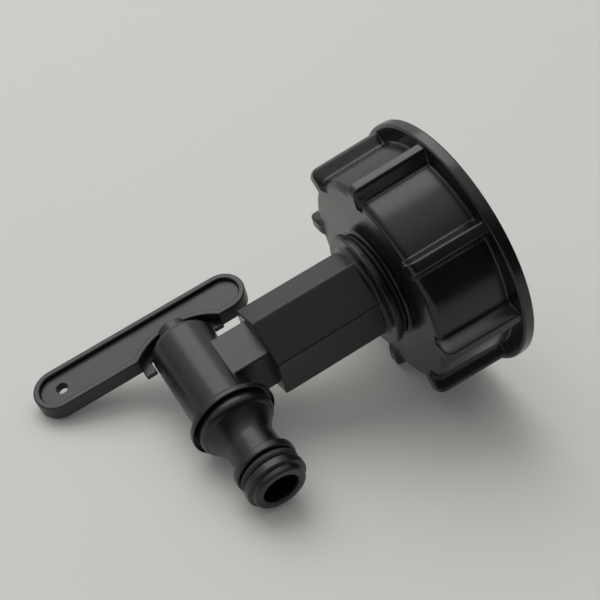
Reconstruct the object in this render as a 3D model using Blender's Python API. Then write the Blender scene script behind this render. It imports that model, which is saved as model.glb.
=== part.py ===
"""Tap adapter for a bulk container outlet.

A coarse threaded cap closes the container's outlet. A moulded tap passes
through the cap's end wall, where a washer seals it and a backnut holds it.
A lever turns the plug in the tap's barrel by a quarter turn, and the water
leaves through a click-on hose nozzle.

The cap's open rim lies in the plane z = 0 with its axis on +Z. The barrel and
its nozzle lie along +X. Lengths are metres.
"""

import math

import bmesh
import bpy
from mathutils import Matrix

MM = 0.001
FIT_GAP = 0.3 * MM
TOOL_OVERRUN = 1.0 * MM

# Cap outside
FLANGE_RADIUS = 39.4 * MM
FLANGE_THICKNESS = 3.6 * MM
FLANGE_EDGE = 0.7 * MM
WALL_RADIUS_AT_FLANGE = 33.3 * MM
WALL_RADIUS_AT_END = 32.7 * MM
CAP_HEIGHT = 26.0 * MM
CAP_CORNER_RADIUS = 2.4 * MM
BOSS_RADIUS = 16.9 * MM
BOSS_HEIGHT = 0.7 * MM

# Cap ribs
RIB_COUNT = 8
RIB_FIRST_ANGLE = math.radians(6.5)
RIB_RADIUS_AT_FLANGE = 38.1 * MM
RIB_RADIUS_AT_END = 37.5 * MM
RIB_RISE = 1.1 * MM
RIB_CORNER_RADIUS = 2.4 * MM
RIB_INNER_END = 30.2 * MM
RIB_BASE_WIDTH = 5.2 * MM
RIB_CREST_WIDTH = 2.5 * MM
RIB_ROOT_DEPTH = 1.4 * MM
RIB_EDGE = 0.5 * MM
RIB_FLANK_LEAN = 0.8 * MM
RIB_FOOT_HEIGHT = 2.2 * MM
RIB_RUN_IN = 1.0 * MM

# Cap inside, with the coarse 60 mm thread of 6 mm pitch
THREAD_ROOT_RADIUS = 30.4 * MM
THREAD_CREST_RADIUS = 28.2 * MM
THREAD_PITCH = 6.0 * MM
THREAD_TOP = 17.0 * MM
THREAD_CREST_FLAT = 1.2 * MM
THREAD_ROOT_FLAT = 1.6 * MM
MOUTH_CHAMFER = 1.8 * MM
END_WALL = 3.2 * MM
RELIEF_HEIGHT = 4.6 * MM
GROOVE_INSIDE_CREST = 0.8 * MM
MOST_OF_HALF_A_TURN = 0.49

# Seals and the backnut inside the cap
GASKET_THICKNESS = 2.8 * MM
GASKET_INNER_RADIUS = 22.5 * MM
WASHER_RADIUS = 16.6 * MM
WASHER_THICKNESS = 1.3 * MM
NUT_ACROSS_FLATS = 34.0 * MM
NUT_THICKNESS = 7.0 * MM
NUT_COLLAR_RADIUS = 18.6 * MM
NUT_COLLAR_HEIGHT = 1.6 * MM
NUT_COLLAR_OVERLAP = 0.5 * MM
SEAL_EDGE = 0.3 * MM

# Tap inlet and hexagonal tube
SPIGOT_RADIUS = 13.0 * MM
SPIGOT_END = 10.0 * MM
SPIGOT_CHAMFER = 1.0 * MM
TAP_FLANGE_RADIUS = 17.8 * MM
TAP_FLANGE_THICKNESS = 2.4 * MM
TAP_FLANGE_EDGE = 0.5 * MM
FLANGE_FILLET_RADIUS = 14.4 * MM
FLANGE_FILLET_INSIDE = 10.2 * MM
FLANGE_FILLET_HEIGHT = 1.8 * MM
HEX_ACROSS_FLATS = 24.0 * MM
HEX_TOP = 65.6 * MM
HEX_EDGE = 0.6 * MM
INLET_BORE_RADIUS = 8.6 * MM
INLET_BORE_TOP = 62.0 * MM
INLET_BORE_TAPER = 2.0 * MM
PORT_RADIUS = 5.0 * MM

# Barrel, whose axis crosses the inlet's axis at a right angle
BARREL_AXIS_HEIGHT = 82.8 * MM
BARREL_RADIUS = 9.9 * MM
BARREL_BACK = -16.8 * MM
BARREL_FRONT = 15.0 * MM
BARREL_EDGE = 1.8 * MM
LIP_RADIUS = 12.7 * MM
LIP_LENGTH = 1.5 * MM
LIP_FLARE = 2.6 * MM
LIP_RECESS_RADIUS = 12.1 * MM
LIP_RECESS_DEPTH = 1.3 * MM
CAVITY_RADIUS = 7.5 * MM
CAVITY_BACK = -13.6 * MM
COUNTERBORE_RADIUS = 9.3 * MM
COUNTERBORE_DEPTH = 6.0 * MM
STEM_HOLE_RADIUS = 3.7 * MM
NECK_DEPTH_X = 14.4 * MM
NECK_WIDTH_Y = 15.4 * MM
NECK_EDGE = 0.8 * MM
NECK_OVERLAP = 2.0 * MM

# Valve plug
PLUG_RADIUS = 7.0 * MM
PLUG_FRONT = 8.2 * MM
PLUG_BACK = -13.0 * MM
PLUG_BORE_RADIUS = 4.6 * MM
PLUG_BORE_BACK = -5.2 * MM
STEM_RADIUS = 3.3 * MM
STEM_SQUARE = 4.2 * MM
STEM_END = -22.4 * MM
SEAL_GROOVE_RADIUS = 5.7 * MM
SEAL_GROOVE_WIDTH = 1.8 * MM
SEAL_RING_RADIUS = 6.6 * MM
SEAL_SECTION_RADIUS = 0.6 * MM
BACK_SEAL_PLACE = -9.4 * MM
FRONT_SEAL_PLACE = 6.5 * MM

# Lever, a blade on edge across the barrel's back end
LEVER_BACK = -31.1 * MM
LEVER_FRONT = -17.3 * MM
LEVER_SHORT_ARM = 25.0 * MM
LEVER_LONG_ARM = 43.7 * MM
LEVER_THICKNESS = 5.6 * MM
LEVER_RIM = 1.8 * MM
LEVER_RECESS = 1.4 * MM
LEVER_DRAFT = 0.25 * MM
LEVER_HOLE_RADIUS = 1.8 * MM
LEVER_HOLE_FROM_END = 8.2 * MM
ARCH_HEIGHT = 5.3 * MM
ARCH_WIDTH = 27.0 * MM
HUB_RADIUS = 4.9 * MM
HUB_ROOT = 0.3 * MM
TAB_NEAR = 10.3 * MM
TAB_FAR = 13.5 * MM
TAB_HANG = 3.6 * MM
TAB_ROOT = 2.2 * MM
TAB_SIDE_STEP = 0.4 * MM
LOW_TAB_HANG = 1.2 * MM

# Nozzle insert
NOZZLE_SPIGOT_RADIUS = 9.0 * MM
NOZZLE_FLANGE_RADIUS = 11.2 * MM
NOZZLE_FLANGE_FRONT = 16.4 * MM
NOZZLE_SHOULDER_RADIUS = 2.2 * MM
NOZZLE_NECK_RADIUS = 7.2 * MM
NOZZLE_NECK_START = 24.5 * MM
COLLAR_RADIUS = 9.0 * MM
COLLAR_START = 30.6 * MM
RING_GROOVE_START = 33.1 * MM
RING_GROOVE_END = 36.0 * MM
RING_GROOVE_RADIUS = 5.8 * MM
TIP_COLLAR_END = 38.6 * MM
TIP_COLLAR_RADIUS = 8.8 * MM
TIP_RADIUS = 7.6 * MM
TIP_END = 40.5 * MM
NOZZLE_BORE_RADIUS = 5.1 * MM
NOZZLE_EDGE = 0.5 * MM
NOZZLE_NECK_FLARE = 0.6 * MM
HOSE_RING_SECTION_RADIUS = 1.05 * MM
NOZZLE_SEAL_THICKNESS = 1.4 * MM
NOZZLE_SEAL_INNER_RADIUS = 6.2 * MM

ROUND_STEPS = 64
SMALL_STEPS = 36
ARC_STEPS = 3
BARREL_STEPS = 44
BORE_STEPS = 28
HOLE_STEPS = 24
LEVER_END_STEPS = 12
SWEEP_STEPS = 6
PLUG_SEAL_SIDES = 6
HOSE_RING_SIDES = 8

BARREL_TURN = Matrix.Rotation(math.radians(90.0), 4, "Y")
BARREL_PLACE = Matrix.Translation((0.0, 0.0, BARREL_AXIS_HEIGHT))


def clear_scene():
    """Remove every object that the file opened with."""
    for old in list(bpy.data.objects):
        bpy.data.objects.remove(old, do_unlink=True)


def plastic(name, colour, roughness, metallic=0.0):
    """One Principled material with a plain colour."""
    material = bpy.data.materials.new(name)
    material.use_nodes = True
    shader = material.node_tree.nodes["Principled BSDF"]
    shader.inputs["Base Color"].default_value = (*colour, 1.0)
    shader.inputs["Roughness"].default_value = roughness
    shader.inputs["Metallic"].default_value = metallic
    material.diffuse_color = (*colour, 1.0)
    return material


def arc(centre_x, centre_y, radius, start_deg, end_deg, steps=ARC_STEPS):
    """Points along an arc, both ends included."""
    points = []
    for step in range(steps + 1):
        angle = math.radians(start_deg + (end_deg - start_deg) * step / steps)
        points.append((centre_x + radius * math.cos(angle), centre_y + radius * math.sin(angle)))
    return points


def make_object(name, mesh_data, material, place=None):
    """Turn bmesh data into a smooth shaded object with one material."""
    bmesh.ops.recalc_face_normals(mesh_data, faces=mesh_data.faces)
    mesh = bpy.data.meshes.new(name)
    mesh_data.to_mesh(mesh)
    mesh_data.free()
    for face in mesh.polygons:
        face.use_smooth = True
    mesh.set_sharp_from_angle(angle=math.radians(32.0))
    mesh.materials.append(material)
    made = bpy.data.objects.new(name, mesh)
    bpy.context.scene.collection.objects.link(made)
    if place is not None:
        made.matrix_world = place
    return made


def revolve(profile, steps=ROUND_STEPS):
    """Spin a closed outline of (radius, height) points round the Z axis."""
    spun = bmesh.new()
    verts = [spun.verts.new((radius, 0.0, height)) for radius, height in profile]
    edges = [spun.edges.new(pair) for pair in zip(verts, verts[1:] + verts[:1])]
    bmesh.ops.spin(
        spun,
        geom=verts + edges,
        cent=(0.0, 0.0, 0.0),
        axis=(0.0, 0.0, 1.0),
        angle=math.tau,
        steps=steps,
        use_merge=True,
    )
    bmesh.ops.remove_doubles(spun, verts=spun.verts, dist=0.001 * MM)
    middle = [vert for vert in spun.verts if vert.co.xy.length < 0.001 * MM]
    bmesh.ops.dissolve_verts(spun, verts=middle)
    return spun


def prism(outline, low, high):
    """Extrude a closed outline of (x, y) points from one height to another."""
    solid = bmesh.new()
    verts = [solid.verts.new((x, y, low)) for x, y in outline]
    base = solid.faces.new(verts)
    raised = bmesh.ops.extrude_face_region(solid, geom=[base])
    moved = [item for item in raised["geom"] if isinstance(item, bmesh.types.BMVert)]
    bmesh.ops.translate(solid, verts=moved, vec=(0.0, 0.0, high - low))
    return solid


def bevel_edges(solid, chosen, width, segments=2):
    """Round the edges for which chosen(edge) is true."""
    edges = [edge for edge in solid.edges if chosen(edge)]
    bmesh.ops.bevel(
        solid,
        geom=edges,
        offset=width,
        offset_type="OFFSET",
        segments=segments,
        profile=0.5,
        affect="EDGES",
    )
    return solid


def runs_up(edge):
    """True for an edge that stands along the Z axis."""
    along = edge.verts[0].co - edge.verts[1].co
    return abs(along.z) > 0.9 * along.length


def combine(target, tool, operation):
    """Join a tool solid to the target or cut it away, and hide the tool."""
    step = target.modifiers.new(operation.lower() + "_" + tool.name, "BOOLEAN")
    step.operation = operation
    step.solver = "EXACT"
    step.object = tool
    tool.hide_render = True
    tool.display_type = "WIRE"
    tool.parent = target
    tool.matrix_parent_inverse = target.matrix_world.inverted()


def cylinder(radius, low, high, steps=SMALL_STEPS):
    """A plain solid cylinder on the Z axis."""
    return revolve([(0.0, low), (radius, low), (radius, high), (0.0, high)], steps)


def ring(major, section, steps, sides):
    """A round section seal ring about the Z axis."""
    outline = [(major + x, y) for x, y in arc(0.0, 0.0, section, 0.0, 360.0, sides)[:-1]]
    return revolve(outline, steps)


def hexagon(across_flats):
    """Corner points of a hexagon whose flats face the X axis."""
    corner = across_flats / math.sqrt(3.0)
    return [
        (corner * math.cos(math.radians(30 + 60 * side)), corner * math.sin(math.radians(30 + 60 * side)))
        for side in range(6)
    ]


# Threaded cap


def cap_shell_outline():
    """The cap's section: flange, drafted wall, rounded corner, boss and mouth."""
    corner = CAP_CORNER_RADIUS
    wall_end = WALL_RADIUS_AT_END
    hole = SPIGOT_RADIUS + FIT_GAP
    inside_end = CAP_HEIGHT - END_WALL
    boss_top = CAP_HEIGHT + BOSS_HEIGHT
    outline = [
        (THREAD_CREST_RADIUS + MOUTH_CHAMFER, 0.0),
        (FLANGE_RADIUS - FLANGE_EDGE, 0.0),
        (FLANGE_RADIUS, FLANGE_EDGE),
        (FLANGE_RADIUS, FLANGE_THICKNESS - FLANGE_EDGE),
        (FLANGE_RADIUS - FLANGE_EDGE, FLANGE_THICKNESS),
        (WALL_RADIUS_AT_FLANGE, FLANGE_THICKNESS),
    ]
    outline += arc(wall_end - corner, CAP_HEIGHT - corner, corner, 0.0, 90.0)
    outline += [
        (BOSS_RADIUS + 0.5 * BOSS_HEIGHT, CAP_HEIGHT),
        (BOSS_RADIUS, boss_top - 0.3 * BOSS_HEIGHT),
        (BOSS_RADIUS - 0.3 * BOSS_HEIGHT, boss_top),
        (hole, boss_top),
        (hole, inside_end),
        (THREAD_ROOT_RADIUS, inside_end),
        (THREAD_ROOT_RADIUS, inside_end - RELIEF_HEIGHT),
        (THREAD_CREST_RADIUS, inside_end - RELIEF_HEIGHT - MOUTH_CHAMFER),
        (THREAD_CREST_RADIUS, MOUTH_CHAMFER),
    ]
    return outline


def cap_rib_sections():
    """Stations along one rib: foot and crest as (radius, height), crest half width."""
    foot = WALL_RADIUS_AT_END - RIB_ROOT_DEPTH
    crest_top = CAP_HEIGHT + RIB_RISE
    turn_height = crest_top - RIB_CORNER_RADIUS
    turn_radius = RIB_RADIUS_AT_END - RIB_CORNER_RADIUS
    narrow = 0.5 * RIB_CREST_WIDTH
    wide = 0.5 * RIB_BASE_WIDTH - RIB_FLANK_LEAN
    foot_top = CAP_HEIGHT - RIB_ROOT_DEPTH
    stations = [((foot, RIB_FOOT_HEIGHT), (RIB_RADIUS_AT_FLANGE, RIB_FOOT_HEIGHT), narrow)]
    turn = arc(turn_radius, turn_height, RIB_CORNER_RADIUS, 0.0, 90.0)
    for number, crest in enumerate(turn):
        share = number / ARC_STEPS
        low_turn = turn_height - RIB_ROOT_DEPTH
        low = (foot - 0.5 * share * RIB_ROOT_DEPTH, low_turn + share * (foot_top - low_turn))
        stations.append((low, crest, narrow + share * (wide - narrow)))
    stations.append(((RIB_INNER_END, foot_top), (RIB_INNER_END + RIB_RISE, crest_top), wide))
    run_in = RIB_INNER_END - RIB_RISE
    stations.append(((run_in, foot_top), (run_in, foot_top + RIB_RUN_IN), wide))
    return stations


def add_rib(solid, angle):
    """Loft one rib through its stations and turn it to its place."""
    half_base = 0.5 * RIB_BASE_WIDTH
    loops = []
    for foot, crest, half_crest in cap_rib_sections():
        corners = [(foot, -half_base), (foot, half_base), (crest, half_crest), (crest, -half_crest)]
        loops.append([solid.verts.new((place[0], side, place[1])) for place, side in corners])
    faces = [solid.faces.new(loops[0]), solid.faces.new(reversed(loops[-1]))]
    crest_edges = []
    for near, far in zip(loops, loops[1:]):
        for side in range(4):
            after = (side + 1) % 4
            faces.append(solid.faces.new((near[side], near[after], far[after], far[side])))
        for side in (2, 3):
            crest_edges.append(solid.edges.get((near[side], far[side])))
    rounded = bmesh.ops.bevel(
        solid, geom=crest_edges, offset=RIB_EDGE, segments=2, profile=0.5, affect="EDGES"
    )
    verts = {vert for face in faces if face.is_valid for vert in face.verts}
    verts.update(rounded["verts"])
    bmesh.ops.rotate(solid, verts=list(verts), cent=(0.0, 0.0, 0.0), matrix=Matrix.Rotation(angle, 3, "Z"))


def cap_ribs():
    """All the gripping ribs round the cap."""
    solid = bmesh.new()
    for number in range(RIB_COUNT):
        add_rib(solid, RIB_FIRST_ANGLE + math.tau * number / RIB_COUNT)
    return solid


def cap_thread_groove():
    """The helical groove between the turns of the coarse thread."""
    solid = bmesh.new()
    inner = THREAD_CREST_RADIUS - GROOVE_INSIDE_CREST
    depth = THREAD_ROOT_RADIUS - THREAD_CREST_RADIUS
    half_root = 0.5 * THREAD_ROOT_FLAT
    half_mouth = 0.5 * (THREAD_PITCH - THREAD_CREST_FLAT)
    half_inner = half_mouth + (half_mouth - half_root) * (THREAD_CREST_RADIUS - inner) / depth
    half_inner = min(half_inner, MOST_OF_HALF_A_TURN * THREAD_PITCH)
    turns = (THREAD_TOP + THREAD_PITCH) / THREAD_PITCH
    steps = round(turns * SMALL_STEPS)
    start = -THREAD_PITCH
    corners = [
        (inner, start - half_inner),
        (THREAD_ROOT_RADIUS, start - half_root),
        (THREAD_ROOT_RADIUS, start + half_root),
        (inner, start + half_inner),
    ]
    verts = [solid.verts.new((radius, 0.0, height)) for radius, height in corners]
    face = solid.faces.new(verts)
    bmesh.ops.spin(
        solid,
        geom=[face],
        cent=(0.0, 0.0, 0.0),
        axis=(0.0, 0.0, 1.0),
        dvec=(0.0, 0.0, turns * THREAD_PITCH / steps),
        angle=math.tau * turns,
        steps=steps,
    )
    return solid


def build_cap():
    """The cap with its ribs joined on and its thread cut inside."""
    black = plastic("cap_plastic", (0.018, 0.019, 0.019), 0.34)
    cap = make_object("threaded_cap", revolve(cap_shell_outline()), black)
    combine(cap, make_object("cap_rib_solids", cap_ribs(), black), "UNION")
    combine(cap, make_object("cap_thread_groove", cap_thread_groove(), black), "DIFFERENCE")
    return cap


# Seals and backnut


def build_cap_gasket():
    """Flat rubber ring against the cap's end wall."""
    rubber = plastic("gasket_rubber", (0.03, 0.03, 0.03), 0.7)
    top = CAP_HEIGHT - END_WALL - FIT_GAP
    outer = THREAD_CREST_RADIUS - FIT_GAP
    outline = [
        (GASKET_INNER_RADIUS, top - GASKET_THICKNESS),
        (outer, top - GASKET_THICKNESS),
        (outer, top),
        (GASKET_INNER_RADIUS, top),
    ]
    return make_object("cap_gasket", revolve(outline, SMALL_STEPS), rubber)


def build_tap_washer():
    """Rubber washer between the cap's boss and the tap's flange."""
    rubber = plastic("washer_rubber", (0.025, 0.025, 0.025), 0.65)
    low = CAP_HEIGHT + BOSS_HEIGHT + FIT_GAP
    hole = SPIGOT_RADIUS + FIT_GAP
    edge = SEAL_EDGE
    outline = [
        (hole, low),
        (WASHER_RADIUS - edge, low),
        (WASHER_RADIUS, low + edge),
        (WASHER_RADIUS, low + WASHER_THICKNESS - edge),
        (WASHER_RADIUS - edge, low + WASHER_THICKNESS),
        (hole, low + WASHER_THICKNESS),
    ]
    return make_object("tap_washer", revolve(outline, SMALL_STEPS), rubber)


def build_backnut():
    """Hexagonal nut that pulls the tap's flange onto the cap."""
    black = plastic("backnut_plastic", (0.02, 0.02, 0.021), 0.4)
    top = CAP_HEIGHT - END_WALL - FIT_GAP
    low = top - NUT_THICKNESS
    blank = prism(hexagon(NUT_ACROSS_FLATS), low, top - NUT_COLLAR_HEIGHT)
    bevel_edges(blank, runs_up, HEX_EDGE)
    nut = make_object("backnut", blank, black)
    collar = cylinder(NUT_COLLAR_RADIUS, top - NUT_COLLAR_HEIGHT - NUT_COLLAR_OVERLAP, top)
    combine(nut, make_object("backnut_collar", collar, black), "UNION")
    bore = cylinder(SPIGOT_RADIUS + FIT_GAP, low - TOOL_OVERRUN, top + TOOL_OVERRUN)
    combine(nut, make_object("backnut_bore", bore, black), "DIFFERENCE")
    return nut


# Tap body


def tap_flange_low():
    """Height of the underside of the tap's flange."""
    return CAP_HEIGHT + BOSS_HEIGHT + WASHER_THICKNESS + 2.0 * FIT_GAP


def tap_inlet_outline():
    """Spigot, flange and the cone that carries the hexagonal tube."""
    low = tap_flange_low()
    top = low + TAP_FLANGE_THICKNESS
    edge = TAP_FLANGE_EDGE
    return [
        (0.0, SPIGOT_END),
        (SPIGOT_RADIUS - SPIGOT_CHAMFER, SPIGOT_END),
        (SPIGOT_RADIUS, SPIGOT_END + SPIGOT_CHAMFER),
        (SPIGOT_RADIUS, low),
        (TAP_FLANGE_RADIUS - edge, low),
        (TAP_FLANGE_RADIUS, low + edge),
        (TAP_FLANGE_RADIUS, top - edge),
        (TAP_FLANGE_RADIUS - edge, top),
        (FLANGE_FILLET_RADIUS, top),
        (FLANGE_FILLET_INSIDE, top + FLANGE_FILLET_HEIGHT),
        (0.0, top + FLANGE_FILLET_HEIGHT),
    ]


def barrel_outline():
    """Outside of the barrel, with its rounded back edge and flared lip."""
    back = BARREL_BACK
    flare_end = BARREL_FRONT - LIP_LENGTH
    outline = [(0.0, back)]
    outline += arc(BARREL_RADIUS - BARREL_EDGE, back + BARREL_EDGE, BARREL_EDGE, -90.0, 0.0)
    for step in range(ARC_STEPS + 1):
        share = step / ARC_STEPS
        rise = 1.0 - math.cos(0.5 * math.pi * share)
        radius = BARREL_RADIUS + (LIP_RADIUS - BARREL_RADIUS) * rise
        outline.append((radius, flare_end - LIP_FLARE * (1.0 - share)))
    outline += [(LIP_RADIUS, BARREL_FRONT), (0.0, BARREL_FRONT)]
    return outline


def barrel_hollow_outline():
    """Stem hole, plug cavity, counterbore and lip recess, as one tool."""
    beyond = BARREL_FRONT + TOOL_OVERRUN
    step_in = BARREL_FRONT - COUNTERBORE_DEPTH
    return [
        (0.0, BARREL_BACK - TOOL_OVERRUN),
        (STEM_HOLE_RADIUS, BARREL_BACK - TOOL_OVERRUN),
        (STEM_HOLE_RADIUS, CAVITY_BACK),
        (CAVITY_RADIUS, CAVITY_BACK),
        (CAVITY_RADIUS, step_in),
        (COUNTERBORE_RADIUS, step_in),
        (COUNTERBORE_RADIUS, BARREL_FRONT - LIP_RECESS_DEPTH),
        (LIP_RECESS_RADIUS, BARREL_FRONT - LIP_RECESS_DEPTH),
        (LIP_RECESS_RADIUS, beyond),
        (0.0, beyond),
    ]


def inlet_bore_outline():
    """The water's way up the hexagonal tube, narrowing to the plug's port."""
    return [
        (0.0, SPIGOT_END - TOOL_OVERRUN),
        (INLET_BORE_RADIUS, SPIGOT_END - TOOL_OVERRUN),
        (INLET_BORE_RADIUS, INLET_BORE_TOP),
        (PORT_RADIUS, INLET_BORE_TOP + INLET_BORE_TAPER),
        (PORT_RADIUS, BARREL_AXIS_HEIGHT),
        (0.0, BARREL_AXIS_HEIGHT),
    ]


def build_tap_body():
    """Spigot, flange, hexagonal tube, neck and barrel in one moulding."""
    black = plastic("tap_plastic", (0.022, 0.024, 0.025), 0.38)
    body = make_object("tap_body", revolve(tap_inlet_outline(), SMALL_STEPS), black)
    tube = prism(hexagon(HEX_ACROSS_FLATS), tap_flange_low() + 0.5 * TAP_FLANGE_THICKNESS, HEX_TOP)
    bevel_edges(tube, runs_up, HEX_EDGE)
    half_x = 0.5 * NECK_DEPTH_X
    half_y = 0.5 * NECK_WIDTH_Y
    corners = [(half_x, half_y), (-half_x, half_y), (-half_x, -half_y), (half_x, -half_y)]
    neck = prism(corners, HEX_TOP - NECK_OVERLAP, BARREL_AXIS_HEIGHT)
    bevel_edges(neck, runs_up, NECK_EDGE)
    on_barrel = BARREL_PLACE @ BARREL_TURN
    combine(body, make_object("hex_tube", tube, black), "UNION")
    combine(body, make_object("neck_block", neck, black), "UNION")
    barrel = revolve(barrel_outline(), BARREL_STEPS)
    combine(body, make_object("barrel_outside", barrel, black, on_barrel), "UNION")
    hollow = revolve(barrel_hollow_outline(), SMALL_STEPS)
    combine(body, make_object("barrel_hollow", hollow, black, on_barrel), "DIFFERENCE")
    bore = revolve(inlet_bore_outline(), BORE_STEPS)
    combine(body, make_object("inlet_bore", bore, black), "DIFFERENCE")
    return body


# Valve plug and its seals


def plug_outline():
    """Plug with two seal grooves and the round part of its stem."""
    half = 0.5 * SEAL_GROOVE_WIDTH
    outline = [
        (0.0, BARREL_BACK - FIT_GAP),
        (STEM_RADIUS, BARREL_BACK - FIT_GAP),
        (STEM_RADIUS, PLUG_BACK),
        (PLUG_RADIUS, PLUG_BACK),
    ]
    for place in (BACK_SEAL_PLACE, FRONT_SEAL_PLACE):
        outline += [
            (PLUG_RADIUS, place - half),
            (SEAL_GROOVE_RADIUS, place - half),
            (SEAL_GROOVE_RADIUS, place + half),
            (PLUG_RADIUS, place + half),
        ]
    outline += [(PLUG_RADIUS, PLUG_FRONT), (0.0, PLUG_FRONT)]
    return outline


def build_plug(turning):
    """Plug with a square stem and an L shaped way through it."""
    pale = plastic("plug_plastic", (0.03, 0.03, 0.032), 0.35)
    on_axis = turning.matrix_world @ BARREL_TURN
    plug = make_object("valve_plug", revolve(plug_outline(), SMALL_STEPS), pale, on_axis)
    half = 0.5 * STEM_SQUARE
    square = prism([(half, half), (-half, half), (-half, -half), (half, -half)], STEM_END, BARREL_BACK)
    combine(plug, make_object("stem_square", square, pale, plug.matrix_world), "UNION")
    way_out = cylinder(PLUG_BORE_RADIUS, PLUG_BORE_BACK, PLUG_FRONT + TOOL_OVERRUN, BORE_STEPS)
    combine(plug, make_object("plug_way_out", way_out, pale, plug.matrix_world), "DIFFERENCE")
    way_in = cylinder(PLUG_BORE_RADIUS, -PLUG_RADIUS - TOOL_OVERRUN, 0.0, BORE_STEPS)
    combine(plug, make_object("plug_way_in", way_in, pale, turning.matrix_world), "DIFFERENCE")
    rubber = plastic("plug_seal_rubber", (0.02, 0.02, 0.02), 0.6)
    seals = []
    for name, place in (("plug_seal_back", BACK_SEAL_PLACE), ("plug_seal_front", FRONT_SEAL_PLACE)):
        spot = turning.matrix_world @ Matrix.Translation((place, 0.0, 0.0)) @ BARREL_TURN
        round_ring = ring(SEAL_RING_RADIUS, SEAL_SECTION_RADIUS, BORE_STEPS, PLUG_SEAL_SIDES)
        seals.append(make_object(name, round_ring, rubber, spot))
    return [plug] + seals


# Lever


def lever_outline():
    """Side view of the blade as (height from the barrel axis, distance along it)."""
    half_height = 0.5 * (LEVER_FRONT - LEVER_BACK)
    middle = 0.5 * (LEVER_FRONT + LEVER_BACK)
    half_arch = 0.5 * ARCH_WIDTH
    arch_radius = (half_arch**2 + ARCH_HEIGHT**2) / (2.0 * ARCH_HEIGHT)
    arch_centre = LEVER_FRONT - ARCH_HEIGHT + arch_radius
    spread = math.degrees(math.asin(half_arch / arch_radius))
    outline = arc(half_height - LEVER_SHORT_ARM, middle, half_height, 270.0, 90.0, LEVER_END_STEPS)
    outline += arc(0.0, arch_centre, arch_radius, 270.0 - spread, 270.0 + spread, LEVER_END_STEPS)
    outline += arc(LEVER_LONG_ARM - half_height, middle, half_height, 90.0, -90.0, LEVER_END_STEPS)
    return outline


def lever_blade():
    """The blade, extruded across its thickness, with a sunk web on each face."""
    half = 0.5 * LEVER_THICKNESS
    blade = prism(lever_outline(), -half, half)
    bmesh.ops.recalc_face_normals(blade, faces=blade.faces)
    for face in [face for face in blade.faces if abs(face.normal.z) > 0.9]:
        bmesh.ops.inset_region(blade, faces=[face], thickness=LEVER_RIM, use_even_offset=True)
        bmesh.ops.inset_region(
            blade, faces=[face], thickness=LEVER_DRAFT, depth=-LEVER_RECESS, use_even_offset=True
        )
    return blade


def build_lever(turning):
    """Lever with its hub, two stop tabs, stem socket and hanging hole."""
    black = plastic("lever_plastic", (0.022, 0.024, 0.025), 0.36)
    blade_turn = Matrix(((0, 1, 0, 0), (0, 0, 1, 0), (1, 0, 0, 0), (0, 0, 0, 1)))
    lever = make_object("lever", lever_blade(), black, turning.matrix_world @ blade_turn)
    barrel_way = turning.matrix_world @ BARREL_TURN
    arch_top = LEVER_FRONT - ARCH_HEIGHT
    hub_end = BARREL_BACK - FIT_GAP
    hub = cylinder(HUB_RADIUS, arch_top - HUB_ROOT, hub_end, BORE_STEPS)
    combine(lever, make_object("lever_hub", hub, black, barrel_way), "UNION")
    half = 0.5 * LEVER_THICKNESS - TAB_SIDE_STEP
    tab_turn = Matrix(((0, 0, 1, 0), (0, 1, 0, 0), (1, 0, 0, 0), (0, 0, 0, 1)))
    for name, near, far, hang in (
        ("stop_tab", TAB_NEAR, TAB_FAR, TAB_HANG),
        ("low_tab", -TAB_FAR, -TAB_NEAR, LOW_TAB_HANG),
    ):
        corners = [(near, half), (near, -half), (far, -half), (far, half)]
        tab = prism(corners, LEVER_FRONT - TAB_ROOT, LEVER_FRONT + hang)
        combine(lever, make_object(name, tab, black, turning.matrix_world @ tab_turn), "UNION")
    side = 0.5 * STEM_SQUARE + FIT_GAP
    corners = [(side, side), (-side, side), (-side, -side), (side, -side)]
    socket = prism(corners, STEM_END - FIT_GAP, hub_end + TOOL_OVERRUN)
    combine(lever, make_object("stem_socket", socket, black, barrel_way), "DIFFERENCE")
    eye_height = BARREL_AXIS_HEIGHT + LEVER_LONG_ARM - LEVER_HOLE_FROM_END
    eye = Matrix.Translation((0.5 * (LEVER_FRONT + LEVER_BACK), 0.0, eye_height))
    across = Matrix.Rotation(math.radians(90.0), 4, "X")
    drill = cylinder(LEVER_HOLE_RADIUS, -LEVER_THICKNESS, LEVER_THICKNESS, HOLE_STEPS)
    combine(lever, make_object("hanging_hole", drill, black, eye @ across), "DIFFERENCE")
    return lever


# Nozzle and its seals


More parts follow.
